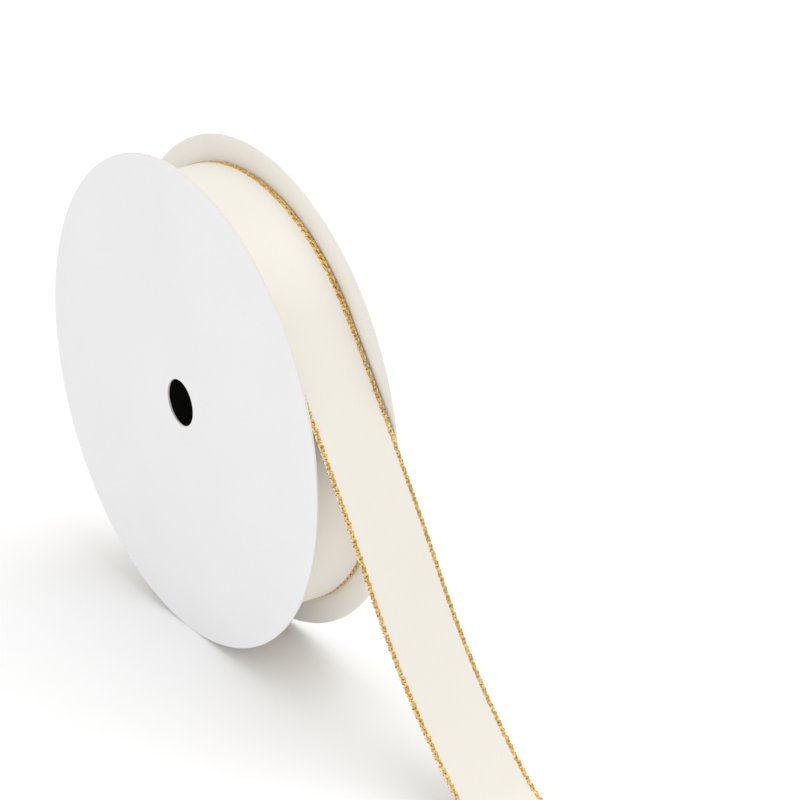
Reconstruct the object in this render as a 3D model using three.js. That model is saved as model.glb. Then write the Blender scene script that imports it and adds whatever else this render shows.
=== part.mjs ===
// A card ribbon reel that stands on its rims: two flanges glued to a core tube, wound with satin
// ribbon that has a gold yarn along each edge. The ribbon's free end comes over the top, leaves the
// roll at the front and runs out onto the table.
// Millimetres. +X is the reel's axle, from the near flange to the far one, -Y is forward, along the
// free end, and +Z is up. The origin is on the table, at the middle of the whole model's footprint.
import * as THREE from "three";

// Driving dimensions: the reel.
const FLANGE_DIAMETER = 125;
const FLANGE_THICKNESS = 0.6;
const AXLE_HOLE_DIAMETER = 12;
const CORE_DIAMETER = 40;
const CORE_WALL = 2;
const GLUE_LEG = 1.5;
const TAPE_THICKNESS = 0.2;
const TAPE_LENGTH = 25;
const TAPE_WIDTH = 14;

// Driving dimensions: the ribbon.
const RIBBON_WIDTH = 20;
const RIBBON_THICKNESS = 0.4;
const GOLD_EDGE_WIDTH = 1.3;
const RIM_STAND = 6.7; // how far the flanges stand past the wound ribbon

// Driving dimensions: the free end's run, as angles below level and lengths along it.
const LEAVING_ANGLE = THREE.MathUtils.degToRad(52.5);
const FALLING_ANGLE = THREE.MathUtils.degToRad(57.5); // where it is steepest
const LANDING_ANGLE = THREE.MathUtils.degToRad(38);
const EASING_LENGTH = 50; // from its steepest to where it starts to land
const LANDING_RADIUS = 22;
const LYING_LENGTH = 40;

// Clearances.
const SEAT_GAP = 0.3; // between solids that touch on the real reel
const SIDE_PLAY = 0.6; // between a ribbon edge and its flange

// Facets.
const RIM_FACETS = 96; // a multiple of four, so that the reel stands on a facet
const EASING_STEPS = 8;
const FALLING_STEPS = 5;
const LANDING_STEPS = 7;
const TAPE_STEPS = 6;

// Sizes that follow.
const flangeRadius = FLANGE_DIAMETER / 2;
const coreRadius = CORE_DIAMETER / 2;
const boreRadius = coreRadius - CORE_WALL;
const tapeRadius = coreRadius + SEAT_GAP;
const innerTurnRadius = tapeRadius + TAPE_THICKNESS + SEAT_GAP;
const topTurnRadius = flangeRadius - RIM_STAND;
const woundRadius = topTurnRadius - RIBBON_THICKNESS - SEAT_GAP;
const halfInside = RIBBON_WIDTH / 2 + SIDE_PLAY;
const halfRibbon = RIBBON_WIDTH / 2;
const halfSatin = halfRibbon - GOLD_EDGE_WIDTH - SEAT_GAP;

const materials = {
  whiteCard: new THREE.MeshStandardMaterial({ color: 0xeceae6, roughness: 0.7, metalness: 0 }),
  greyCard: new THREE.MeshStandardMaterial({ color: 0xa89f90, roughness: 0.9, metalness: 0 }),
  glue: new THREE.MeshStandardMaterial({ color: 0xe4d9b4, roughness: 0.35, metalness: 0 }),
  tape: new THREE.MeshStandardMaterial({ color: 0xe9e5d6, roughness: 0.3, metalness: 0 }),
  satin: new THREE.MeshStandardMaterial({ color: 0xf1ece0, roughness: 0.45, metalness: 0 }),
  goldYarn: new THREE.MeshStandardMaterial({ color: 0xd9a548, roughness: 0.3, metalness: 0.9 }),
};

// A ring about the X axis, from x0 to x1, with its flats level and upright: the radii are to the
// middle of a facet.
function ring(x0, x1, innerRadius, outerRadius) {
  const toCorner = 1 / Math.cos(Math.PI / RIM_FACETS);
  const profile = [
    [innerRadius, x0],
    [outerRadius, x0],
    [outerRadius, x1],
    [innerRadius, x1],
    [innerRadius, x0],
  ].map(([radius, along]) => new THREE.Vector2(radius * toCorner, along));
  const geometry = new THREE.LatheGeometry(profile, RIM_FACETS, Math.PI / RIM_FACETS);
  return geometry.rotateZ(-Math.PI / 2);
}

// A bead of three-cornered section in the corner between a flange's inside, at x0, and the tube's
// bore. side is +1 where the bead reaches towards +X, and -1 where it reaches towards -X.
function bead(x0, side) {
  const outer = boreRadius - SEAT_GAP;
  const corners = [
    [outer - GLUE_LEG, x0],
    [outer, x0],
    [outer, x0 + side * GLUE_LEG],
  ];
  if (side < 0) corners.reverse();
  corners.push(corners[0]);
  const profile = corners.map(([radius, along]) => new THREE.Vector2(radius, along));
  return new THREE.LatheGeometry(profile, RIM_FACETS / 2).rotateZ(-Math.PI / 2);
}

// An outline drawn in the YZ plane, as [y, z] points, made solid from x0 to x1.
function slab(outline, x0, x1) {
  const shape = new THREE.Shape(outline.map(([y, z]) => new THREE.Vector2(y, z)));
  const geometry = new THREE.ExtrudeGeometry(shape, { depth: x1 - x0, bevelEnabled: false });
  const toYZ = new THREE.Matrix4().set(0, 0, 1, x0, 1, 0, 0, 0, 0, 1, 0, 0, 0, 0, 0, 1);
  return geometry.applyMatrix4(toYZ);
}

// The tape lies on the core, over the ribbon's inner end, as a sector of a thin ring.
function tapeTab() {
  const span = TAPE_LENGTH / tapeRadius;
  const outline = [];
  for (let i = 0; i <= TAPE_STEPS; i++) {
    const angle = (i / TAPE_STEPS - 0.5) * span;
    outline.push([tapeRadius * Math.cos(angle), tapeRadius * Math.sin(angle)]);
  }
  const outer = outline.map(([y, z]) => {
    const grow = (tapeRadius + TAPE_THICKNESS) / tapeRadius;
    return [y * grow, z * grow];
  });
  return slab([...outer, ...outline.reverse()], -TAPE_WIDTH / 2, TAPE_WIDTH / 2);
}

// How far an arc of unit length drops when its angle below level goes from one value to another.
function dropPerLength(from, to) {
  return (Math.cos(from) - Math.cos(to)) / (to - from);
}

// The stations of the free end's upper face, from where it leaves the roll to its cut, as
// { y, z, angle } from the middle of the reel. The falling stretch is as long as the height needs.
function freeEndStations() {
  const leaving = {
    y: -topTurnRadius * Math.sin(LEAVING_ANGLE),
    z: topTurnRadius * Math.cos(LEAVING_ANGLE),
    angle: LEAVING_ANGLE,
  };
  const topOfLying = RIBBON_THICKNESS - flangeRadius;
  const landingDrop = LANDING_RADIUS * (1 - Math.cos(LANDING_ANGLE));
  const easingDrop = EASING_LENGTH * dropPerLength(FALLING_ANGLE, LANDING_ANGLE);
  const fallingDrop = leaving.z - topOfLying - landingDrop - easingDrop;
  const stretches = [
    [fallingDrop / dropPerLength(LEAVING_ANGLE, FALLING_ANGLE), FALLING_ANGLE, FALLING_STEPS],
    [EASING_LENGTH, LANDING_ANGLE, EASING_STEPS],
    [LANDING_RADIUS * LANDING_ANGLE, 0, LANDING_STEPS],
    [LYING_LENGTH, 0, 1],
  ];
  const stations = [leaving];
  for (const [length, endAngle, steps] of stretches) {
    const start = stations.at(-1);
    const turn = endAngle - start.angle;
    const chord = turn ? (2 * Math.sin(turn / steps / 2) * length) / turn : length / steps;
    for (let i = 1; i <= steps; i++) {
      const last = stations.at(-1);
      const middle = start.angle + (turn * (i - 0.5)) / steps;
      stations.push({
        y: last.y - chord * Math.cos(middle),
        z: last.z - chord * Math.sin(middle),
        angle: start.angle + (turn * i) / steps,
      });
    }
  }
  return stations;
}

// A strip of the free end between two distances across the ribbon.
function freeStrip(stations, x0, x1) {
  const upper = stations.map(({ y, z }) => [y, z]);
  const lower = stations.map(({ y, z, angle }) => [
    y + RIBBON_THICKNESS * Math.sin(angle),
    z - RIBBON_THICKNESS * Math.cos(angle),
  ]);
  return slab([...upper, ...lower.reverse()], x0, x1);
}

function addMesh(group, name, geometry, material) {
  const mesh = new THREE.Mesh(geometry, material);
  mesh.name = name;
  group.add(mesh);
}

const stations = freeEndStations();
const reach = -stations.at(-1).y;

// The reel's middle, with the whole model's footprint centred on the origin.
const spool = new THREE.Group();
spool.position.set(0, (reach - flangeRadius) / 2, flangeRadius);

const reel = new THREE.Group();
spool.add(reel);
const tubeHalf = halfInside - SEAT_GAP;
addMesh(reel, "core_tube", ring(-tubeHalf, tubeHalf, boreRadius, coreRadius), materials.greyCard);
addMesh(reel, "tape_tab", tapeTab(), materials.tape);
addMesh(
  reel,
  "wound_ribbon",
  ring(-halfSatin, halfSatin, innerTurnRadius, woundRadius),
  materials.satin,
);
for (const [where, side] of [
  ["near", -1],
  ["far", 1],
]) {
  // Both ends of a span are put in rising order, whichever side of the reel it is on.
  const span = (a, b) => (side < 0 ? [-b, -a] : [a, b]);
  const flange = ring(
    ...span(halfInside, halfInside + FLANGE_THICKNESS),
    AXLE_HOLE_DIAMETER / 2,
    flangeRadius,
  );
  const goldSpan = span(halfRibbon - GOLD_EDGE_WIDTH, halfRibbon);
  const woundGold = ring(...goldSpan, innerTurnRadius, woundRadius);
  addMesh(reel, `${where}_flange`, flange, materials.whiteCard);
  addMesh(reel, `${where}_glue_bead`, bead(side * (halfInside - SEAT_GAP), -side), materials.glue);
  addMesh(reel, `${where}_wound_gold_edge`, woundGold, materials.goldYarn);
  addMesh(spool, `${where}_free_gold_edge`, freeStrip(stations, ...goldSpan), materials.goldYarn);
}
addMesh(spool, "free_ribbon", freeStrip(stations, -halfSatin, halfSatin), materials.satin);

const model = new THREE.Group();
model.add(spool);

export default model;
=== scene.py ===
# %% [markdown]
# # A ribbon spool
#
# Two discs of white card stand on their rims with satin ribbon wound between them. The ribbon has
# two rows of gold stitches along each edge. Its free end comes over the top, leaves the roll at the
# front and runs down to the table.
#
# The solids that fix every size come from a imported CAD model, the frame. This lesson dresses them:
# it reads its places from the frame and never moves a CAD part. +X is the reel's axle, from the
# near disc to the far one, -Y is forward along the free end, and +Z is up. Lengths are in metres.

# %% The frame
import math

import bmesh
import bpy
import numpy as np
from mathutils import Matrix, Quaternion, Vector


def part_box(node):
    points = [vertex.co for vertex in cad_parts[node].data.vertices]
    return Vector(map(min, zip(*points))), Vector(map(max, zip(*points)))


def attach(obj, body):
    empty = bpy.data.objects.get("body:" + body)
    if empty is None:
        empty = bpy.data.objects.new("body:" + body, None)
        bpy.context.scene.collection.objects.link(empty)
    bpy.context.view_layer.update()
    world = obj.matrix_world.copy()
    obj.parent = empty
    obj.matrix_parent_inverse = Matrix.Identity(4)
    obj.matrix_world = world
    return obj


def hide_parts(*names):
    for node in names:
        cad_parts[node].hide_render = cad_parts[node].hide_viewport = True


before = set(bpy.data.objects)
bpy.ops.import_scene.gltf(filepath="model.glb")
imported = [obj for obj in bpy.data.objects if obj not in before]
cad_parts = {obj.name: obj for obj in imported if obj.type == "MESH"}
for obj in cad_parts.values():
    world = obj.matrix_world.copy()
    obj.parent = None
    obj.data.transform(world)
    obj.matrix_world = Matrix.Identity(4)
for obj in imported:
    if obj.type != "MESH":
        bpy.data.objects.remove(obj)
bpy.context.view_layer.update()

MM = 0.001
scene = bpy.context.scene

# %% [markdown]
# ## The sizes that everything follows
#
# The boxes of the CAD nodes give the reel: where its axle is, how large the discs are and how far
# apart they stand. The ribbon has a little side play between them, and it was wound nearer the
# far disc, so all its pieces are shifted that way by a third of a millimetre.

# %% Sizes from the frame
near_low, near_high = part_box("near_flange")
far_low, far_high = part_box("far_flange")
core_low, core_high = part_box("core_tube")
free_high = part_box("free_ribbon")[1]
edge_low, edge_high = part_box("far_free_gold_edge")

AXLE_Y = (near_low.y + near_high.y) / 2
AXLE_Z = (near_low.z + near_high.z) / 2
FLANGE_RADIUS = (near_high.z - near_low.z) / 2
CORE_RADIUS = (core_high.z - core_low.z) / 2
AXLE_HOLE_RADIUS = 6 * MM
CORE_WALL = 2 * MM

HALF_RIBBON = edge_high.x
GOLD_EDGE_WIDTH = edge_high.x - edge_low.x
EDGE_MIDDLE = (edge_low.x + edge_high.x) / 2
ROLL_SHIFT = 0.3 * MM
print(f"flange radius {FLANGE_RADIUS / MM:.1f} mm, ribbon {2 * HALF_RIBBON / MM:.1f} mm wide")

# %% [markdown]
# ## The camera
#
# The view is from the front left and above, with a long lens, so the near disc is a tall ellipse
# and the ribbon runs down towards the lower right. The aim is given from the middle of the near
# disc's outer face, because that face fills most of the view.

# %% Camera
VIEW_AZIMUTH = math.radians(-33.48)
VIEW_ELEVATION = math.radians(24.64)
VIEW_ROLL = math.radians(-1.14)
VIEW_DISTANCE = 0.837
LENS = 153.8
AIM_RIGHT = 53.9 * MM
AIM_UP = 0.7 * MM

disc_middle = Vector((near_low.x, AXLE_Y, AXLE_Z))
back = Vector(
    (
        math.sin(VIEW_AZIMUTH) * math.cos(VIEW_ELEVATION),
        -math.cos(VIEW_AZIMUTH) * math.cos(VIEW_ELEVATION),
        math.sin(VIEW_ELEVATION),
    )
)
camera_data = bpy.data.cameras.new("camera")
camera_data.lens = LENS
camera_data.sensor_width = 36
camera_data.clip_start = 0.01
camera = bpy.data.objects.new("camera", camera_data)
scene.collection.objects.link(camera)
camera.rotation_mode = "QUATERNION"
camera.rotation_quaternion = (-back).to_track_quat("-Z", "Y") @ Quaternion((0, 0, 1), VIEW_ROLL)
aim = disc_middle + camera.rotation_quaternion @ Vector((AIM_RIGHT, AIM_UP, 0))
camera.location = aim + back * VIEW_DISTANCE
scene.camera = camera
print("camera at", [round(v, 3) for v in camera.location])

# %% [markdown]
# ## Writing node trees as expressions
#
# A tree of nodes is easier to read as sums than as a list of links. `Wire` holds one output of a
# node, and arithmetic on it adds Math nodes. `Graph` makes every other node: it is given the
# node's type, its settings, and the values or wires of its inputs. The same two classes write
# materials and Geometry Nodes.

# %% Wire
def pick(sockets, key):
    """The socket with that number, identifier or name; unused ones of the same name are skipped."""
    if isinstance(key, int):
        return sockets[key]
    for socket in sockets:
        if socket.identifier == key:
            return socket
    return next(socket for socket in sockets if socket.name == key and socket.enabled)


class Wire:
    """One output of a node. Arithmetic on it adds Math nodes to its graph."""

    def __init__(self, graph, socket):
        self.graph = graph
        self.socket = socket

    def out(self, key):
        return Wire(self.graph, pick(self.socket.node.outputs, key))

    def __add__(self, other):
        return self.graph.math("ADD", self, other)

    def __sub__(self, other):
        return self.graph.math("SUBTRACT", self, other)

    def __rsub__(self, other):
        return self.graph.math("SUBTRACT", other, self)

    def __mul__(self, other):
        return self.graph.math("MULTIPLY", self, other)

    def __truediv__(self, other):
        return self.graph.math("DIVIDE", self, other)

    __radd__ = __add__
    __rmul__ = __mul__


# %% Graph
class Graph:
    """A node tree that is written as expressions."""

    def __init__(self, tree):
        self.tree = tree

    def node(self, kind, settings=None, inputs=None, output=0):
        made = self.tree.nodes.new(kind)
        for name, value in (settings or {}).items():
            if name == "stops":
                self.set_stops(made.color_ramp, value)
            else:
                setattr(made, name, value)
        for key, value in (inputs or {}).items():
            self.put(pick(made.inputs, key), value)
        return Wire(self, pick(made.outputs, output)) if made.outputs else made

    def put(self, socket, value):
        """Links a wire to an input, or sets the input's own value."""
        if isinstance(value, Wire):
            self.tree.links.new(value.socket, socket)
        else:
            socket.default_value = value

    @staticmethod
    def set_stops(ramp, stops):
        while len(ramp.elements) < len(stops):
            ramp.elements.new(0.5)
        for element, (place, colour) in zip(ramp.elements, stops):
            element.position = place
            element.color = colour

    def math(self, operation, *values):
        return self.node("ShaderNodeMath", {"operation": operation}, dict(enumerate(values)))

    def smooth(self, value, low, high):
        """0 below low, 1 above high, and an S-curve between."""
        settings = {"interpolation_type": "SMOOTHSTEP"}
        return self.node("ShaderNodeMapRange", settings, {0: value, 1: low, 2: high})

    def mix(self, share, a, b):
        """The colour a where share is 0 and b where it is 1."""
        inputs = {"Factor_Float": share, "A_Color": a, "B_Color": b}
        return self.node("ShaderNodeMix", {"data_type": "RGBA"}, inputs, "Result_Color")

    def parts(self, vector):
        """The x, y and z of a vector."""
        x = self.node("ShaderNodeSeparateXYZ", None, {0: vector})
        return x, x.out(1), x.out(2)

    def join(self, x, y, z=0.0):
        """The vector of three numbers."""
        return self.node("ShaderNodeCombineXYZ", None, {0: x, 1: y, 2: z})


# %% Colour
def colour(red, green, blue):
    """A linear colour from display values that run from 11 to 255."""
    linear = [((value / 255 + 0.055) / 1.055) ** 2.4 for value in (red, green, blue)]
    return (*linear, 1.0)


# %% [markdown]
# ## Starting a finish
#
# Each finish is a Principled shader. What is the same all over is set on the shader's own sockets,
# and only what changes from place to place is wired in. Patterns read Object coordinates, in
# metres, or the ribbon's own UV map, whose two numbers are metres across and along the ribbon.

# %% The start of a material
class Finish(Graph):
    """A material with one Principled shader."""

    def __init__(self, name, **sockets):
        self.material = bpy.data.materials.new(name)
        self.material.use_nodes = True
        super().__init__(self.material.node_tree)
        self.tree.nodes.clear()
        self.shader = self.node("ShaderNodeBsdfPrincipled").socket.node
        self.node("ShaderNodeOutputMaterial", None, {"Surface": Wire(self, self.shader.outputs[0])})
        for key, value in sockets.items():
            self.feed(key.replace("_", " ").title(), value)

    def feed(self, key, value):
        """Sets or wires one of the shader's inputs."""
        self.put(pick(self.shader.inputs, key), value)

    def place(self):
        return self.node("ShaderNodeTexCoord", None, None, "Object")

    def axle_distance(self, y, z):
        """How far a place is from the axle."""
        y = y - AXLE_Y
        z = z - AXLE_Z
        return self.math("SQRT", y * y + z * z)

    def noise(self, vector, scale, detail=2.0):
        inputs = {"Vector": vector, "Scale": scale, "Detail": detail}
        return self.node("ShaderNodeTexNoise", None, inputs)

    def bump(self, height, depth):
        """Relief of that depth in metres, where height runs from 0 to 1."""
        relief = {"Height": height, "Distance": depth}
        self.feed("Normal", self.node("ShaderNodeBump", None, relief))


# %% [markdown]
# ## The card of the discs
#
# A disc is thin board, coated cool white and die-cut. Its inside faces are painted a warmer,
# lighter white: painted warm bounce light from the satin.
# The face looks plain, but it isn't perfect: it has a faint cloudiness, a few tiny specks in the
# pulp and a very fine tooth. The cut edge is the core of the board, a little warmer and rougher,
# with the layers showing as thin lines.

# %% White card
def white_card_finish():
    finish = Finish("white_card", roughness=0.62)
    place = finish.place()
    x, y, z = finish.parts(place)
    radius = finish.axle_distance(y, z)

    clouds = finish.noise(place, 45.0, 3.0)
    tooth = finish.noise(place, 2600.0, 3.0)
    cells = finish.node("ShaderNodeTexVoronoi", None, {"Vector": place, "Scale": 140.0})
    chosen = finish.parts(cells.out("Color"))[0]
    speck = finish.smooth(cells, 0.045, 0.02) * finish.smooth(chosen, 0.80, 0.82)

    # The inside faces are painted warmer and lighter: painted warm bounce light from the satin.
    inside = finish.smooth(finish.math("ABSOLUTE", x), far_low.x + 0.35 * MM, far_low.x + 0.25 * MM)
    coated = finish.mix(clouds, colour(234, 233, 234), colour(239, 238, 239))
    plain = finish.mix(clouds, colour(246, 244, 238), colour(250, 248, 242))
    face = finish.mix(inside, coated, plain)
    face = finish.mix(finish.smooth(tooth, 0.35, 0.75) * 0.25, face, colour(228, 228, 230))
    face = finish.mix(speck * 0.45, face, colour(176, 168, 156))

    rim = finish.smooth(radius, FLANGE_RADIUS - 0.10 * MM, FLANGE_RADIUS - 0.03 * MM)
    bore = finish.smooth(radius, AXLE_HOLE_RADIUS + 0.10 * MM, AXLE_HOLE_RADIUS + 0.03 * MM)
    cut = finish.math("MAXIMUM", rim, bore)
    layers = finish.noise(finish.join(x * 9000.0, y * 60.0, z * 60.0), 1.0, 1.0)
    core = finish.mix(layers, colour(214, 206, 190), colour(243, 239, 230))
    finish.feed("Base Color", finish.mix(cut, face, core))
    finish.feed("Roughness", 0.58 + cut * 0.25 + tooth * 0.08)
    finish.bump(tooth + cut * layers * 2.0, 0.012 * MM)
    return finish.material


# %% [markdown]
# ## The board of the core
#
# The core is a tube of dark recycled board, wound from a strip on a slant, so a seam climbs round
# it like the line on a paper straw. Short fibres of other papers show in it. Its bore is painted
# nearly black: painted shade deep inside the tube.

# %% Grey card
def grey_card_finish():
    finish = Finish("grey_card", roughness=0.9)
    place = finish.place()
    x, y, z = finish.parts(place)
    turn = finish.math("ARCTAN2", z - AXLE_Z, y - AXLE_Y) / math.tau
    strip = finish.math("FRACT", turn + x * 42.0 + 8.0)
    seam = finish.smooth(finish.math("ABSOLUTE", strip - 0.5), 0.485, 0.498)
    fibres = finish.noise(finish.join(x * 900.0, y * 260.0, z * 260.0), 1.0, 4.0)
    board = finish.mix(finish.smooth(fibres, 0.35, 0.7), colour(70, 66, 61), colour(104, 98, 90))
    radius = finish.axle_distance(y, z)
    # Nearly black towards the bore: painted shade deep inside the tube.
    bore = finish.smooth(radius, CORE_RADIUS - 0.6 * CORE_WALL, CORE_RADIUS - 0.8 * CORE_WALL)
    board = finish.mix(bore, board, colour(30, 28, 27))
    finish.feed("Base Color", finish.mix(seam * 0.7, board, colour(38, 35, 32)))
    finish.bump(fibres * 0.5 - seam, 0.06 * MM)
    return finish.material


# %% [markdown]
# ## Glue and tape
#
# Both are hidden inside the reel. The hot glue is a cloudy cream with a wax-like gloss, and the
# tape is a clear film with a slight crinkle.

# %% Glue and tape
def glue_finish():
    finish = Finish("glue", roughness=0.32)
    cloud = finish.noise(finish.place(), 420.0, 3.0)
    finish.feed("Base Color", finish.mix(cloud, colour(206, 190, 146), colour(232, 221, 188)))
    finish.feed("Roughness", 0.26 + cloud * 0.2)
    finish.bump(cloud, 0.05 * MM)
    return finish.material


def tape_finish():
    finish = Finish("tape", roughness=0.22)
    place = finish.place()
    crinkle = finish.noise(place, 700.0)
    finish.feed("Base Color", finish.mix(crinkle, colour(214, 208, 190), colour(236, 232, 220)))
    finish.feed("Roughness", 0.16 + crinkle * 0.15)
    finish.bump(crinkle, 0.03 * MM)
    return finish.material


# %% [markdown]
# ## Satin
#
# Satin's face is nearly all warp: threads that run along the ribbon and float over several wefts
# before they dive. Where they dive they line up into faint diagonal ribs, the twill line. So the
# cloth is smooth and softly glossy, with very fine lines on a slant, and each thread is a slightly
# different shade. The slant is steep, about a third of a right angle off the ribbon's length.
# A whole number of ribs goes round the roll, so the pattern meets itself.

# %% Satin
TWILL_ANGLE = math.radians(27)
TWILL_RIBS_ROUND = 240


def satin_finish(circumference):
    finish = Finish("satin", roughness=0.44, sheen_weight=0.15, sheen_roughness=0.4)
    ribbon = finish.node("ShaderNodeUVMap", {"uv_map": "ribbon"})
    across, along, _ = finish.parts(ribbon)
    ribs_along = TWILL_RIBS_ROUND / circumference
    ribs_across = ribs_along / math.tan(TWILL_ANGLE)
    ribs = finish.math("SINE", (across * ribs_across + along * ribs_along) * math.tau) * 0.5 + 0.5

    threads = finish.noise(finish.join(across * 7000.0, along * 260.0), 1.0)
    clouds = finish.noise(finish.place(), 38.0)
    cream = finish.mix(clouds, colour(231, 227, 218), colour(235, 231, 222))
    cream = finish.mix(ribs * 0.16, cream, colour(222, 217, 206))
    cream = finish.mix(finish.smooth(threads, 0.4, 0.8) * 0.2, cream, colour(227, 222, 212))
    finish.feed("Base Color", cream)
    finish.feed("Roughness", 0.36 + threads * 0.12)
    finish.bump(ribs * 0.6 + threads, 0.006 * MM)
    return finish.material


# %% [markdown]
# ## Gold yarn
#
# The yarn is a thin strip of gold foil wound round a core thread. Each turn of foil catches the
# light its own way, which is painted in as glints, and painted shade turns it brown between the
# turns and where a stitch dives. `along` and `around` are carried by the stitches: the first is 0
# and 1 at a stitch's two ends, and the second goes once round the yarn.

# %% Gold yarn
FOIL_TURNS = 7


def gold_yarn_finish():
    finish = Finish("gold_yarn", roughness=0.3, metallic=0.8)
    along = finish.node("ShaderNodeAttribute", {"attribute_name": "along"}, None, "Fac")
    around = finish.node("ShaderNodeAttribute", {"attribute_name": "around"}, None, "Fac")
    place = finish.place()
    wind = finish.math("SINE", (along * FOIL_TURNS + around) * math.tau) * 0.5 + 0.5
    facets = finish.node("ShaderNodeTexVoronoi", None, {"Vector": place, "Scale": 2400.0})
    chance, lean, _ = finish.parts(facets.out("Color"))
    dive = finish.smooth(finish.math("ABSOLUTE", along - 0.5), 0.34, 0.5)

    # Painted glints on random facets, and painted shade between the foil's turns and where a stitch
    # dives.
    glint_and_shade_tone = 0.37 + wind * 0.14 + chance * 0.42 - dive * 0.5
    # The ramp runs from painted shade in dark brown to a painted highlight in pale gold.
    stops = [
        (0.0, colour(92, 42, 24)),
        (0.28, colour(168, 106, 40)),
        (0.58, colour(214, 164, 76)),
        (0.9, colour(250, 228, 150)),
    ]
    gold = finish.node("ShaderNodeValToRGB", {"stops": stops}, {0: glint_and_shade_tone}, "Color")
    finish.feed("Base Color", gold)
    finish.feed("Roughness", 0.28 + lean * 0.2)
    finish.bump(wind + chance, 0.02 * MM)
    return finish.material


# %% [markdown]
# ## The ribbon's line
#
# Seen from the side, the ribbon is one smooth line. It comes over the roll on a circle, leaves it
# at a slant, gets a little steeper as it falls, eases off, and lands on a short curve. Each stretch
# bends evenly, so the angle below level changes in straight steps with the length. Adding up its
# cosine and sine gives every place on the line. The length `s` is 0 where the ribbon leaves the
# roll, negative on the roll and positive on the free end.

# %% The line
LEAVING_ANGLE = math.radians(52.5)
FALLING_ANGLE = math.radians(57.5)
LANDING_ANGLE = math.radians(38)
EASING_LENGTH = 50 * MM
LANDING_RADIUS = 22 * MM
LYING_LENGTH = 40 * MM
LYING_HEIGHT = 0.4 * MM
LINE_STEP = 0.05 * MM

TOP_TURN_RADIUS = (free_high.z - AXLE_Z) / math.cos(LEAVING_ANGLE)
CIRCUMFERENCE = math.tau * TOP_TURN_RADIUS


def drop_per_length(start, end):
    """How far an arc of unit length drops when its angle below level goes from start to end."""
    return (math.cos(start) - math.cos(end)) / (end - start)


leaving_height = TOP_TURN_RADIUS * math.cos(LEAVING_ANGLE) + AXLE_Z
landing_drop = LANDING_RADIUS * (1 - math.cos(LANDING_ANGLE))
easing_drop = EASING_LENGTH * drop_per_length(FALLING_ANGLE, LANDING_ANGLE)
falling_drop = leaving_height - LYING_HEIGHT - landing_drop - easing_drop
falling_length = falling_drop / drop_per_length(LEAVING_ANGLE, FALLING_ANGLE)
landing_length = LANDING_RADIUS * LANDING_ANGLE
stretch_lengths = [CIRCUMFERENCE, falling_length, EASING_LENGTH, landing_length, LYING_LENGTH]
stretch_angles = [LEAVING_ANGLE - math.tau, LEAVING_ANGLE, FALLING_ANGLE, LANDING_ANGLE, 0.0, 0.0]
stretch_ends = np.concatenate([[0.0], np.cumsum(stretch_lengths)]) - CIRCUMFERENCE
FREE_LENGTH = stretch_ends[-1]

line_s = np.arange(stretch_ends[0], FREE_LENGTH + LINE_STEP, LINE_STEP)
line_angle = np.interp(line_s, stretch_ends, stretch_angles)
middle_angle = (line_angle[1:] + line_angle[:-1]) / 2
line_y = np.concatenate([[0.0], np.cumsum(-np.cos(middle_angle) * LINE_STEP)])
line_z = np.concatenate([[0.0], np.cumsum(-np.sin(middle_angle) * LINE_STEP)])
line_y += AXLE_Y - TOP_TURN_RADIUS * math.sin(LEAVING_ANGLE) - np.interp(0.0, line_s, line_y)
line_z += leaving_height - np.interp(0.0, line_s, line_z)


def line_place(s):
    """The places at lengths s, as y, z and the outward direction's y and z."""
    angle = np.interp(s, line_s, line_angle)
    return np.interp(s, line_s, line_y), np.interp(s, line_s, line_z), -np.sin(angle), np.cos(angle)


print(f"free end {FREE_LENGTH / MM:.1f} mm long, roll {TOP_TURN_RADIUS / MM:.2f} mm in radius")

# %% [markdown]
# ## One way to skin a shape
#
# Most pieces here are a section carried along a way: a card's section goes round the axle, and the
# satin's goes down the line. `skin` takes the section's corners at each station and joins them
# with quads. It closes the ends, or joins the last station to the first for a ring. It can also
# lay a UV map in metres across and along.

# %% Skin
def skin(name, stations, ring, across=None, along=None):
    """A closed mesh object from stations, an array of (station, corner, xyz)."""
    count, corners = stations.shape[:2]
    spans = count if ring else count - 1
    faces = []
    places = []
    for i in range(spans):
        ahead = (i + 1) % count
        for j in range(corners):
            beside = (j + 1) % corners
            faces.append(
                (i * corners + j, i * corners + beside, ahead * corners + beside, ahead * corners + j)
            )
            if across is not None:
                places += [
                    (across[j], along[i]),
                    (across[beside], along[i]),
                    (across[beside], along[i + 1]),
                    (across[j], along[i + 1]),
                ]
    if not ring:
        half = corners // 2
        for start, s_index in ((0, 0), ((count - 1) * corners, -1)):
            for j in range(half - 1):
                quad = (j, j + 1, corners - 2 - j, corners - 1 - j)
                faces.append(tuple(start + k for k in quad))
                if across is not None:
                    places += [(across[k], along[s_index]) for k in quad]
    mesh = bpy.data.meshes.new(name)
    mesh.from_pydata(stations.reshape(-1, 3).tolist(), [], faces)
    if across is not None:
        uv_map = mesh.uv_layers.new(name="ribbon")
        uv_map.data.foreach_set("uv", np.array(places, np.float32).ravel())
    return shown(name, mesh)


# %% From mesh to object
def shown(name, mesh, sharp=math.radians(40)):
    """An object for a mesh, smooth but for its sharp corners, with its faces outwards."""
    work = bmesh.new()
    work.from_mesh(mesh)
    bmesh.ops.recalc_face_normals(work, faces=work.faces)
    work.to_mesh(mesh)
    work.free()
    mesh.shade_smooth()
    mesh.set_sharp_from_angle(angle=sharp)
    piece = bpy.data.objects.new(name, mesh)
    scene.collection.objects.link(piece)
    print(f"{name}: {len(mesh.polygons)} faces")
    return piece


# %% Turning a section
def lathe(section, count, wobble=None):
    """The stations of a section of (x, radius) corners turned about the axle."""
    turn = np.arange(count) * math.tau / count
    x, radius = np.array(section).T
    x = np.broadcast_to(x, (count, len(x))).copy()
    radius = np.broadcast_to(radius, x.shape).copy()
    if wobble:
        x, radius = wobble(x, radius, turn[:, None])
    y = AXLE_Y + radius * np.cos(turn)[:, None]
    z = AXLE_Z + radius * np.sin(turn)[:, None]
    return np.stack([x, y, z], axis=-1)


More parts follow.
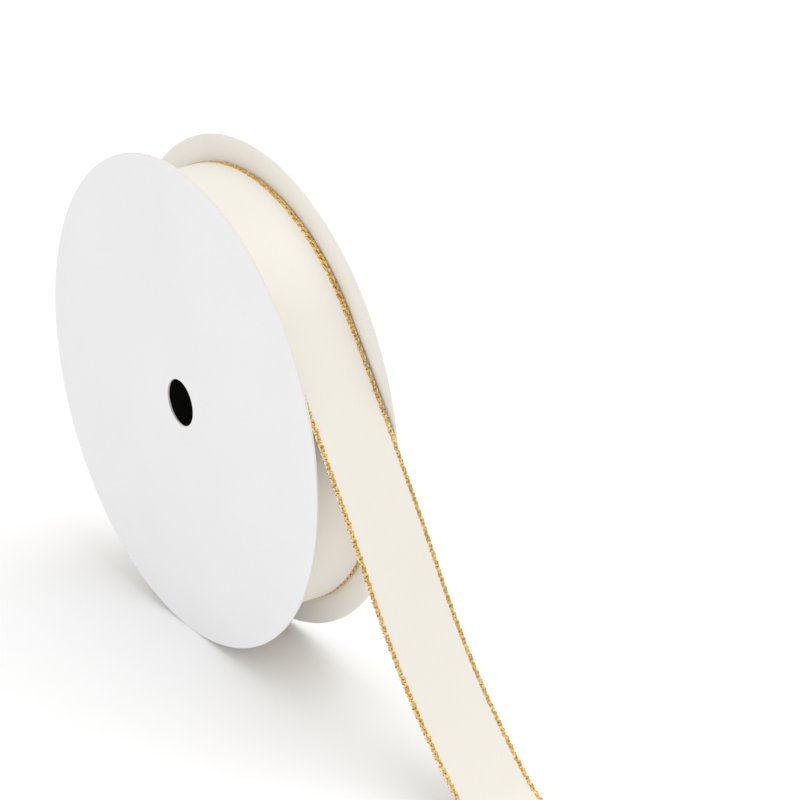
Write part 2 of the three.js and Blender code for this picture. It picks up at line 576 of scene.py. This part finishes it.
# %% Dressing a piece
def wear(piece, body, slot, material, *nodes):
    """Gives a finished piece its material, its body and the CAD nodes it stands for; slot is not
    used.
    """
    piece.data.materials.clear()
    piece.data.materials.append(material)
    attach(piece, body)
    if nodes:
        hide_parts(*nodes)


# %% [markdown]
# ## The discs
#
# Each disc is a section turned about the axle. The die presses the outer corners of the card round
# and leaves the inner ones crisper, and the same happens at the axle hole. The turns of ribbon
# push the card apart a little, so beyond the core each disc dishes outwards, by a quarter of a
# millimetre at its rim, and it isn't quite even all round.

# %% Disc
DISC_SEGMENTS = 288
FACE_RINGS = 14
FACE_MARGIN = 1 * MM
PRESSED_CORNER = 0.20 * MM
CRISP_CORNER = 0.10 * MM
CORNER_STEPS = 4
DISC_DISH = 0.27 * MM
DISC_BOW = 0.05 * MM


def corner(middle_x, middle_r, radius, start):
    """A quarter circle of section corners, from the angle start, in quarter turns."""
    turns = [(start + k / CORNER_STEPS) * math.pi / 2 for k in range(CORNER_STEPS + 1)]
    return [(middle_x + radius * math.cos(t), middle_r + radius * math.sin(t)) for t in turns]


def disc_section(x_out, x_in):
    """The section of a disc from its outer face, x_out, to its inner face, x_in."""
    way = 1 if x_in > x_out else -1
    inner, outer = AXLE_HOLE_RADIUS, FLANGE_RADIUS
    pressed, crisp = PRESSED_CORNER, CRISP_CORNER
    section = [
        *corner(0, outer - crisp, crisp, 0),
        *corner(0, outer - pressed, pressed, 1),
        *corner(0, inner + pressed, pressed, 2),
        *corner(0, inner + crisp, crisp, 3),
    ]
    step = CORNER_STEPS + 1
    shifts = [x_in - way * crisp, x_out + way * pressed, x_out + way * pressed, x_in - way * crisp]
    section = [(way * x + shifts[k // step], r) for k, (x, r) in enumerate(section)]
    rings = np.linspace(outer - FACE_MARGIN, inner + FACE_MARGIN, FACE_RINGS)
    outer_face = [(x_out, r) for r in rings]
    inner_face = [(x_in, r) for r in rings[::-1]]
    return section[: 2 * step] + outer_face + section[2 * step :] + inner_face


def dished(x, radius, turn):
    share = np.clip((radius - CORE_RADIUS) / (FLANGE_RADIUS - CORE_RADIUS), 0, 1) ** 2
    uneven = DISC_BOW * np.cos(2 * turn + 0.6)
    return x + np.sign(x) * share * (DISC_DISH + uneven), radius


near_stations = lathe(disc_section(near_low.x, near_high.x), DISC_SEGMENTS, dished)
far_stations = lathe(disc_section(far_high.x, far_low.x), DISC_SEGMENTS, dished)
near_disc = skin("near_flange_card", near_stations, True)
far_disc = skin("far_flange_card", far_stations, True)

# %% [markdown]
# ## Inside the reel
#
# The core is a board tube whose cut ends are rounded a little. A bead of hot glue holds each disc
# to it, squeezed into the corner between the disc and the bore, and no bead of glue is even. The
# ribbon's inner end is held by a tab of tape.

# %% Core, glue and tape
CORE_SEGMENTS = 144
TUBE_CORNER = 0.2 * MM
GLUE_LEG = 1.5 * MM
TAPE_WIDTH = 14 * MM
TAPE_LENGTH = 25 * MM
TAPE_THICKNESS = 0.2 * MM
SEAT_GAP = 0.3 * MM

bore_radius = CORE_RADIUS - CORE_WALL
left, right = core_low.x + TUBE_CORNER, core_high.x - TUBE_CORNER
tube_section = [
    *corner(right, CORE_RADIUS - TUBE_CORNER, TUBE_CORNER, 0),
    *corner(left, CORE_RADIUS - TUBE_CORNER, TUBE_CORNER, 1),
    *corner(left, bore_radius + TUBE_CORNER, TUBE_CORNER, 2),
    *corner(right, bore_radius + TUBE_CORNER, TUBE_CORNER, 3),
]
core = skin("core_board", lathe(tube_section, CORE_SEGMENTS), True)


def glue_ring(name, x_disc, way):
    """A lumpy bead in the corner at x_disc, reaching into the tube along way."""
    outer = bore_radius - SEAT_GAP
    section = [(x_disc, outer)]
    for k in range(7):
        turn = k / 6 * math.pi / 2
        sag = 1 - 0.3 * math.sin(2 * turn)
        reach = GLUE_LEG * sag
        section.append((x_disc + way * reach * math.sin(turn), outer - reach * math.cos(turn)))

    def lumps(x, radius, turn):
        size = 1 + 0.10 * np.sin(5 * turn + 1) + 0.07 * np.sin(13 * turn) + 0.04 * np.sin(31 * turn)
        return x_disc + (x - x_disc) * size, outer + (radius - outer) * size

    return skin(name, lathe(section, CORE_SEGMENTS, lumps), True)


near_glue = glue_ring("near_glue_ring", core_low.x, 1)
far_glue = glue_ring("far_glue_ring", core_high.x, -1)


def tape():
    """A strip bent round the core, a little wavy along its cut ends."""
    radius = CORE_RADIUS + SEAT_GAP
    turns = np.linspace(-0.5, 0.5, 41) * TAPE_LENGTH / radius
    across = np.linspace(-0.5, 0.5, 15) * TAPE_WIDTH
    bent = turns[:, None] + 0.004 * np.sin(across / (0.9 * MM))[None, :]
    layers = []
    for height, order in ((TAPE_THICKNESS, 1), (0.0, -1)):
        r = radius + height
        y = AXLE_Y + r * np.cos(bent)
        z = AXLE_Z + r * np.sin(bent)
        x = np.broadcast_to(across, y.shape)
        layers.append(np.stack([x, y, z], axis=-1)[:, ::order])
    return skin("core_tape", np.concatenate(layers, axis=1), False)


core_tape = tape()

# %% [markdown]
# ## The wound satin
#
# The roll is a ring of satin: about a hundred turns, of which only the last one shows. The gold
# edges are thicker than the cloth, so the turns build up higher at the sides and the satin between
# them is very slightly hollow. The same hollow is carried down the free end, where it fades.

# %% Wound satin
SATIN_HALF = HALF_RIBBON - GOLD_EDGE_WIDTH + 0.25 * MM
SATIN_HOLLOW = 0.12 * MM
SATIN_COLUMNS = 20
ROLL_SEGMENTS = 336
ROLL_INNER_RADIUS = CORE_RADIUS + 0.8 * MM

satin_across = np.linspace(-SATIN_HALF, SATIN_HALF, SATIN_COLUMNS + 1)


def hollow(across):
    """How far the cloth lies below the ribbon's line, across its width."""
    return SATIN_HOLLOW * (1 - (across / SATIN_HALF) ** 2)


roll_s = -np.arange(ROLL_SEGMENTS + 1) * CIRCUMFERENCE / ROLL_SEGMENTS
y, z, out_y, out_z = line_place(roll_s[:-1])
top_drop = hollow(satin_across)[None, :]
outside = np.stack(
    [
        np.broadcast_to(ROLL_SHIFT + satin_across, (ROLL_SEGMENTS, SATIN_COLUMNS + 1)),
        y[:, None] - out_y[:, None] * top_drop,
        z[:, None] - out_z[:, None] * top_drop,
    ],
    axis=-1,
)
inward = (ROLL_INNER_RADIUS / TOP_TURN_RADIUS) * np.array([y - AXLE_Y, z - AXLE_Z])
inner_across = np.array([SATIN_HALF, -SATIN_HALF])
inside = np.stack(
    [
        np.broadcast_to(ROLL_SHIFT + inner_across, (ROLL_SEGMENTS, 2)),
        np.broadcast_to((AXLE_Y + inward[0])[:, None], (ROLL_SEGMENTS, 2)),
        np.broadcast_to((AXLE_Z + inward[1])[:, None], (ROLL_SEGMENTS, 2)),
    ],
    axis=-1,
)
wound_across = np.concatenate([satin_across, inner_across])
wound_stations = np.concatenate([outside, inside], axis=1)
wound_satin = skin("wound_satin", wound_stations, True, wound_across, roll_s)

# %% [markdown]
# ## The free end of the satin
#
# The free end is one thin sheet with a true thickness, laid along the line. It starts a few
# millimetres back on the roll, a hair above its surface, so that the two read as one cloth, and it
# ends in a straight cut on the table. Between its edges it ripples by a twentieth of a millimetre
# or so. Under the gold the cloth is pinched thin, because the stitches hold it from both sides,
# and outside them a narrow white selvedge shows.

# %% Free satin
SATIN_THICKNESS = 0.28 * MM
SELVEDGE_HALF = HALF_RIBBON - 0.02 * MM
START_BACK = 3 * MM
START_LIFT = 0.03 * MM
FREE_STEP = 0.6 * MM
RIPPLE = 0.05 * MM
RIPPLE_FADES = 20 * MM
HOLLOW_FADES = 60 * MM
PINCH_DEPTHS = np.array([0, 0.07, 0.125, 0.125, 0.08, 0.09]) * MM

free_s = np.linspace(-START_BACK, FREE_LENGTH, round((FREE_LENGTH + START_BACK) / FREE_STEP) + 1)
y, z, out_y, out_z = line_place(free_s)
fade = np.clip(1 - free_s / HOLLOW_FADES, 0.15, 1)[:, None]
from_roll = np.clip(free_s / RIPPLE_FADES, 0, 1)
from_table = np.clip((FREE_LENGTH - LYING_LENGTH - free_s) / RIPPLE_FADES, 0, 1)
gold_inside = HALF_RIBBON - GOLD_EDGE_WIDTH
middle_columns = np.linspace(-gold_inside, gold_inside, SATIN_COLUMNS + 1)
gold_columns = np.concatenate(
    [gold_inside + np.array([0.15, 0.3]) * MM, SELVEDGE_HALF - np.array([0.3, 0.15, 0]) * MM]
)
free_columns = np.concatenate([-gold_columns[::-1], middle_columns, gold_columns])
pinch = np.interp(np.abs(free_columns), [gold_inside, *gold_columns], PINCH_DEPTHS)
side = free_columns / SATIN_HALF
twist = np.sin(free_s / (7.3 * MM))[:, None] * side
belly = 0.6 * np.sin(free_s / (11 * MM) + 1)[:, None]
ripple = RIPPLE * (from_roll * from_table)[:, None] * (twist + belly) * np.clip(1 - side**2, 0, 1)
lift = START_LIFT - np.maximum(hollow(free_columns), 0)[None, :] * fade + ripple
layers = []
for drop, inwards, order in ((0.0, -1, 1), (SATIN_THICKNESS, 1, -1)):
    height = lift - drop + inwards * pinch[None, :]
    layer = np.stack(
        [
            np.broadcast_to(ROLL_SHIFT + free_columns, height.shape),
            y[:, None] + out_y[:, None] * height,
            z[:, None] + out_z[:, None] * height,
        ],
        axis=-1,
    )
    layers.append(layer[:, ::order])
free_across = np.concatenate([free_columns, free_columns[::-1]])
free_satin = skin("free_satin", np.concatenate(layers, axis=1), False, free_across, free_s)

# %% [markdown]
# ## The gold edges
#
# Each edge of the ribbon is two rows of gold stitches. A stitch is a short float of yarn: it rises
# out of the edge, lies on it for a couple of millimetres on a slight slant, and dives again under
# the next one. The rows are half a stitch out of step, so the edge looks braided. So the whole
# edge is one pair of stitches, repeated along the ribbon's line. That is work for Geometry Nodes:
# the tree makes one stitch and lays out a pair, on the face alone or on the back too, then
# resamples a path to the number of pairs and sets a copy on each point, turned to the path. A
# little chance in the size and lean of each copy keeps it from looking printed.

# %% Stitch sizes
STITCHES_ROUND = 168
STITCH_LENGTH = CIRCUMFERENCE / STITCHES_ROUND
STITCH_OVERLAP = 1.25
STITCH_SLANT = math.radians(10)
STITCH_DIVE = 0.18 * MM
YARN_SIDES = 8
YARN_RINGS = 8
EDGE_DEPTH = 0.14 * MM
FREE_STITCH = {
    "Row Out": 0.28 * MM,
    "Rise": 0.09 * MM,
    "Yarn Half Width": 0.31 * MM,
    "Yarn Half Height": 0.125 * MM,
}
ROLL_STITCH = {
    "Row Out": 0.34 * MM,
    "Rise": 0.15 * MM,
    "Yarn Half Width": 0.35 * MM,
    "Yarn Half Height": 0.2 * MM,
}

print(f"{STITCHES_ROUND} pairs round the roll, each {STITCH_LENGTH / MM:.2f} mm long")

# %% [markdown]
# One stitch comes first. A short line is bent to an arch, tapered to its ends and swept with a
# flattened circle. The named attributes `along` and `around` are stored on the line and on the
# circle before the sweep, which hands both on to the mesh.

# %% One stitch
def group_input(tree, name, kind):
    """Adds a named input to a tree and returns its identifier."""
    return tree.interface.new_socket(name=name, in_out="INPUT", socket_type=kind).identifier


def yarn_float(graph, given):
    """One stitch along Y: an arched, tapering, flattened length of yarn."""
    store = {"data_type": "FLOAT", "domain": "POINT"}
    named = "GeometryNodeStoreNamedAttribute"
    yarn = graph.node("GeometryNodeCurvePrimitiveLine", None, {"End": (0, 1, 0)})
    yarn = graph.node("GeometryNodeResampleCurve", None, {"Curve": yarn, "Count": YARN_RINGS})
    share = graph.node("GeometryNodeSplineParameter", None, None, "Factor")
    yarn = graph.node(named, store, {"Geometry": yarn, "Name": "along", "Value": share})
    off_middle = share * 2 - 1
    y = off_middle * given.out("Stitch Length") * (STITCH_OVERLAP / 2)
    z = given.out("Rise") - off_middle * off_middle * given.out("Dive")
    place = {"Geometry": yarn, "Position": graph.join(0.0, y, z)}
    yarn = graph.node("GeometryNodeSetPosition", None, place)
    taper = 1 - off_middle * off_middle * off_middle * off_middle * 0.6
    yarn = graph.node("GeometryNodeSetCurveRadius", None, {"Curve": yarn, "Radius": taper})
    yarn = graph.node("GeometryNodeSetCurveNormal", {"mode": "Z_UP"}, {"Curve": yarn})
    ring = {"Resolution": YARN_SIDES, "Radius": 1.0}
    section = graph.node("GeometryNodeCurvePrimitiveCircle", None, ring)
    size = graph.join(given.out("Yarn Half Width"), given.out("Yarn Half Height"), 1.0)
    section = graph.node("GeometryNodeTransform", None, {"Geometry": section, "Scale": size})
    share = graph.node("GeometryNodeSplineParameter", None, None, "Factor")
    section = graph.node(named, store, {"Geometry": section, "Name": "around", "Value": share})
    sweep = {"Curve": yarn, "Profile Curve": section, "Fill Caps": True}
    return graph.node("GeometryNodeCurveToMesh", None, sweep)


def joined(graph, *parts):
    """All the geometry of several wires as one."""
    both = graph.node("GeometryNodeJoinGeometry")
    for part in reversed(parts):
        graph.tree.links.new(part.socket, both.socket.node.inputs[0])
    return both


# %% [markdown]
# The tree lays out the pair and repeats it. Instances keep it quick until the last moment, and
# Realize Instances turns them into real mesh, because nothing that reads the mesh later sees an
# instance.

# %% The stitch tree
def edge_tree():
    """The tree that sets pairs of gold stitches along a path, and its inputs by name."""
    tree = bpy.data.node_groups.new("gold_edge", "GeometryNodeTree")
    kinds = {
        "Path": "NodeSocketGeometry",
        "Pairs": "NodeSocketInt",
        "Stitch Length": "NodeSocketFloat",
        "Row Out": "NodeSocketFloat",
        "Rise": "NodeSocketFloat",
        "Dive": "NodeSocketFloat",
        "Yarn Half Width": "NodeSocketFloat",
        "Yarn Half Height": "NodeSocketFloat",
        "Slant": "NodeSocketFloat",
        "Back Too": "NodeSocketBool",
        "Seed": "NodeSocketInt",
        "Material": "NodeSocketMaterial",
    }
    inputs = {name: group_input(tree, name, kind) for name, kind in kinds.items()}
    tree.interface.new_socket(name="Edge", in_out="OUTPUT", socket_type="NodeSocketGeometry")
    graph = Graph(tree)
    given = graph.node("NodeGroupInput", None, None, "Path")

    # A stitch on either side of the edge's middle, half a stitch out of step, and their backs.
    stitch = yarn_float(graph, given)
    slant = graph.join(0.0, 0.0, given.out("Slant"))
    quarter = given.out("Stitch Length") * 0.25
    rows = []
    for side in (-1, 1):
        place = graph.join(given.out("Row Out") * side, quarter * side, 0.0)
        moved = {"Geometry": stitch, "Translation": place, "Rotation": slant}
        rows.append(graph.node("GeometryNodeTransform", None, moved))
    face = joined(graph, *rows)
    back = graph.node("GeometryNodeTransform", None, {"Geometry": face, "Rotation": (0, math.pi, 0)})
    switch = {"Switch": given.out("Back Too"), "False": face, "True": joined(graph, face, back)}
    pair = graph.node("GeometryNodeSwitch", {"input_type": "GEOMETRY"}, switch)

    # A copy on each point: its Z points out of the cloth, and its X stays along the axle.
    points = {"Curve": given.out("Path"), "Count": given.out("Pairs")}
    points = graph.node("GeometryNodeResampleCurve", None, points)
    tangent = graph.node("GeometryNodeInputTangent")
    sideways = (1, 0, 0)
    cross = {"operation": "CROSS_PRODUCT"}
    outward = graph.node("ShaderNodeVectorMath", cross, {0: tangent, 1: sideways})
    axes = {"primary_axis": "Z", "secondary_axis": "X"}
    aims = {"Primary Axis": outward, "Secondary Axis": sideways}
    rotation = graph.node("FunctionNodeAxesToRotation", axes, aims)
    vector = {"data_type": "FLOAT_VECTOR"}
    seed = given.out("Seed")
    lean = {"Min": (-0.02, -0.04, -0.06), "Max": (0.02, 0.04, 0.06), "Seed": seed}
    lean = graph.node("FunctionNodeRandomValue", vector, lean, "Value")
    local = {"rotation_space": "LOCAL"}
    turned = graph.node("FunctionNodeRotateRotation", local, {0: rotation, 1: lean})
    size = {"Min": (0.92, 0.96, 0.85), "Max": (1.04, 1.04, 1.04), "Seed": seed + 1}
    size = graph.node("FunctionNodeRandomValue", vector, size, "Value")
    copies = {"Points": points, "Instance": pair, "Rotation": turned, "Scale": size}
    edge = graph.node("GeometryNodeInstanceOnPoints", None, copies)
    edge = graph.node("GeometryNodeRealizeInstances", None, {"Geometry": edge})
    dress = {"Geometry": edge, "Material": given.out("Material")}
    edge = graph.node("GeometryNodeSetMaterial", None, dress)
    graph.node("NodeGroupOutput", None, {0: edge})
    print(f"stitch tree: {len(tree.nodes)} nodes, {len(inputs)} inputs")
    return tree, inputs


# %% [markdown]
# The path is a plain curve down the middle of the gold edge, a little below the cloth's face. For
# the roll it is a closed ring, and its first stitch sits where the ribbon leaves. For the free end
# it starts one stitch later, so both edges keep step, and runs a hair inwards, so that the
# stitches' tips stay inside the selvedge. On the roll the edges of the turns below push the
# stitches up and flatten them, so they stand higher and spread wider. The evaluated result becomes
# a plain mesh.

# %% Gold edges
ROWS_INWARDS = 0.07 * MM


def path_curve(name, s, x, ring):
    """A curve object along the ribbon's line at lengths s and at x across."""
    y, z, out_y, out_z = line_place(s)
    curve = bpy.data.curves.new(name, "CURVE")
    curve.dimensions = "3D"
    spline = curve.splines.new("POLY")
    spline.points.add(len(s) - 1)
    spline.use_cyclic_u = ring
    places = np.stack(
        [np.full_like(s, x), y - out_y * EDGE_DEPTH, z - out_z * EDGE_DEPTH, np.ones_like(s)], axis=-1
    )
    spline.points.foreach_set("co", places.ravel())
    piece = bpy.data.objects.new(name, curve)
    scene.collection.objects.link(piece)
    return piece


def gold_edge(name, s, x, ring, pairs, seed, material):
    """The gold edge along lengths s, as a plain mesh object. A ring's back isn't seen."""
    path = path_curve(name + "_path", s, x, ring)
    modifier = path.modifiers.new("edge", "NODES")
    modifier.node_group = edge_group
    values = {
        "Pairs": pairs,
        "Stitch Length": STITCH_LENGTH,
        "Dive": STITCH_DIVE,
        "Slant": STITCH_SLANT,
        "Back Too": not ring,
        "Seed": seed,
        "Material": material,
        **(ROLL_STITCH if ring else FREE_STITCH),
    }
    for key, value in values.items():
        modifier[edge_inputs[key]] = value
    depsgraph = bpy.context.evaluated_depsgraph_get()
    evaluated = path.evaluated_get(depsgraph)
    mesh = bpy.data.meshes.new_from_object(
        evaluated, preserve_all_data_layers=True, depsgraph=depsgraph
    )
    path.modifiers.remove(modifier)
    bpy.data.objects.remove(path)
    mesh.name = name
    return shown(name, mesh, math.radians(60))


# %% The four gold edges
edge_group, edge_inputs = edge_tree()
gold_yarn = gold_yarn_finish()
ring_s = (np.arange(STITCHES_ROUND * 6) / (STITCHES_ROUND * 6) - 1) * CIRCUMFERENCE
free_stitches = int(FREE_LENGTH / STITCH_LENGTH - 0.5)
free_path_s = STITCH_LENGTH * np.linspace(1, free_stitches, (free_stitches - 1) * 6 + 1)
edges = {}
for seed, (where, side) in enumerate([("near", -1), ("far", 1)]):
    roll_x = ROLL_SHIFT + side * EDGE_MIDDLE
    free_x = roll_x - side * ROWS_INWARDS
    edges[where, "wound"] = gold_edge(
        f"{where}_wound_stitches", ring_s, roll_x, True, STITCHES_ROUND, 10 + seed, gold_yarn
    )
    edges[where, "free"] = gold_edge(
        f"{where}_free_stitches", free_path_s, free_x, False, free_stitches, 20 + seed, gold_yarn
    )

# %% [markdown]
# ## The gold edges of the turns below
#
# Under the last turn's gold edge lie the edges of all the turns before it, packed into a solid
# band. Only its outside and its flank can be glimpsed, through the stitches and past the discs, so
# the band is a ring whose finish shows the imported turns as ridges, with painted glints and
# painted shade in the grooves between them. Its outer lip is the white selvedge of the last turn,
# and it has the satin's colour.

# %% Packed turns, finish
PACKED_TOP = TOP_TURN_RADIUS - EDGE_DEPTH - 0.12 * MM
TURN_PITCH = 0.37 * MM
BAND_HALF = HALF_RIBBON + 0.27 * MM
LIP_WIDTH = 0.34 * MM
LIP_HEIGHT = 0.2 * MM


def packed_turns_finish():
    finish = Finish("gold_turns", roughness=0.42)
    place = finish.place()
    x, y, z = finish.parts(place)
    radius = finish.axle_distance(y, z)
    # Ridges with painted shade in the grooves between the turns, and painted glints.
    ridges = finish.math("SINE", radius * (math.tau / TURN_PITCH)) * 0.5 + 0.5
    glint = finish.noise(place, 2600.0)
    glint_and_shade_tone = ridges * 0.5 + glint * 0.5
    stops = [(0.2, colour(104, 62, 30)), (0.5, colour(184, 140, 76)), (0.8, colour(236, 206, 140))]
    gold = finish.node("ShaderNodeValToRGB", {"stops": stops}, {0: glint_and_shade_tone}, "Color")
    across = finish.math("ABSOLUTE", x - ROLL_SHIFT)
    top = finish.smooth(radius, PACKED_TOP - 0.1 * MM, PACKED_TOP)
    selvedge = finish.smooth(across, BAND_HALF - LIP_WIDTH - 0.05 * MM, BAND_HALF - LIP_WIDTH) * top
    finish.feed("Base Color", finish.mix(selvedge, gold, colour(234, 230, 221)))
    finish.feed("Metallic", (1 - selvedge) * 0.5)
    finish.bump(ridges + glint, 0.12 * MM)
    return finish.material


# %% Packed turns, shape
def packed_turns(name, side):
    """A ring on one side of the roll, from the core to just under the last turn's stitches."""
    inner, outer = HALF_RIBBON - GOLD_EDGE_WIDTH + 0.3 * MM, BAND_HALF
    section = [
        (inner, ROLL_INNER_RADIUS),
        (inner, PACKED_TOP - 0.05 * MM),
        ((inner + outer) / 2, PACKED_TOP),
        (outer - LIP_WIDTH, PACKED_TOP + LIP_HEIGHT),
        (outer - 0.1 * MM, PACKED_TOP + LIP_HEIGHT),
        (outer, PACKED_TOP),
        (outer, ROLL_INNER_RADIUS),
    ]
    section = [(ROLL_SHIFT + side * x, radius) for x, radius in section]
    return skin(name, lathe(section, ROLL_SEGMENTS), True)


near_turns = packed_turns("near_gold_turns", -1)
far_turns = packed_turns("far_gold_turns", 1)

# %% [markdown]
# ## Putting it on the bodies
#
# The reel turns about its axle while the free end lies still, so each piece rides on one of the
# two bodies and stands for the CAD nodes that it replaces. The size that the free satin was cut
# to is printed.

# %% Bodies, finishes and the sheet's size
white_card = white_card_finish()
satin = satin_finish(CIRCUMFERENCE)
glue = glue_finish()
gold_turns = packed_turns_finish()
wear(near_disc, "reel", "white_card", white_card, "near_flange")
wear(far_disc, "reel", "white_card", white_card, "far_flange")
wear(core, "reel", "grey_card", grey_card_finish(), "core_tube")
wear(near_glue, "reel", "glue", glue, "near_glue_bead")
wear(far_glue, "reel", "glue", glue, "far_glue_bead")
wear(core_tape, "reel", "tape", tape_finish(), "tape_tab")
wear(wound_satin, "reel", "satin", satin, "wound_ribbon")
wear(free_satin, "free_end", "satin", satin, "free_ribbon")
for where in ("near", "far"):
    wear(edges[where, "wound"], "reel", "gold_yarn", gold_yarn, f"{where}_wound_gold_edge")
    wear(edges[where, "free"], "free_end", "gold_yarn", gold_yarn, f"{where}_free_gold_edge")
wear(near_turns, "reel", "gold_yarn", gold_turns)
wear(far_turns, "reel", "gold_yarn", gold_turns)
FREE_LENGTH + START_BACK
print(f"sheet cut {2 * SELVEDGE_HALF / MM:.2f} by {(FREE_LENGTH + START_BACK) / MM:.1f} mm")

# %% [markdown]
# ## Floor and light
#
# The table is a wide pale floor. A large soft light above and to the right gives the satin its
# broad sheen, a weak one low at the front left lifts the near disc's face, and the white world
# fills the rest, so that shadows stay faint.

# %% Floor
FLOOR_RADIUS = 4.0


def pale_floor():
    mesh = bpy.data.meshes.new("floor")
    work = bmesh.new()
    bmesh.ops.create_circle(work, cap_ends=True, segments=96, radius=FLOOR_RADIUS)
    work.to_mesh(mesh)
    work.free()
    floor = bpy.data.objects.new("floor", mesh)
    scene.collection.objects.link(floor)
    finish = Finish("floor", roughness=0.8)
    soft = finish.noise(finish.place(), 3.0)
    finish.feed("Base Color", finish.mix(soft, colour(251, 251, 251), colour(253, 253, 253)))
    mesh.materials.append(finish.material)


pale_floor()

# %% Light
REEL_MIDDLE = Vector((0, AXLE_Y, AXLE_Z))


def softbox(name, direction, distance, size, watts, tint=(1, 1, 1)):
    """An area light at that distance in that direction from the reel, facing it."""
    light = bpy.data.lights.new(name, "AREA")
    light.shape = "RECTANGLE"
    light.size, light.size_y = size
    light.energy = watts
    light.color = tint
    lamp = bpy.data.objects.new(name, light)
    scene.collection.objects.link(lamp)
    away = Vector(direction).normalized()
    lamp.location = REEL_MIDDLE + away * distance
    lamp.rotation_mode = "QUATERNION"
    lamp.rotation_quaternion = (-away).to_track_quat("-Z", "Y")


softbox("key", (0.26, -0.06, 0.92), 1.5, (1.2, 1.2), 7.6, (1.0, 0.985, 0.965))
softbox("fill", (-0.85, -0.6, 0.0), 0.55, (0.5, 0.25), 0.36)

world = bpy.data.worlds.new("world")
world.use_nodes = True
world.node_tree.nodes["Background"].inputs["Color"].default_value = (1, 1, 1, 1)
world.node_tree.nodes["Background"].inputs["Strength"].default_value = 0.85
scene.world = world
scene.view_settings.view_transform = "Standard"
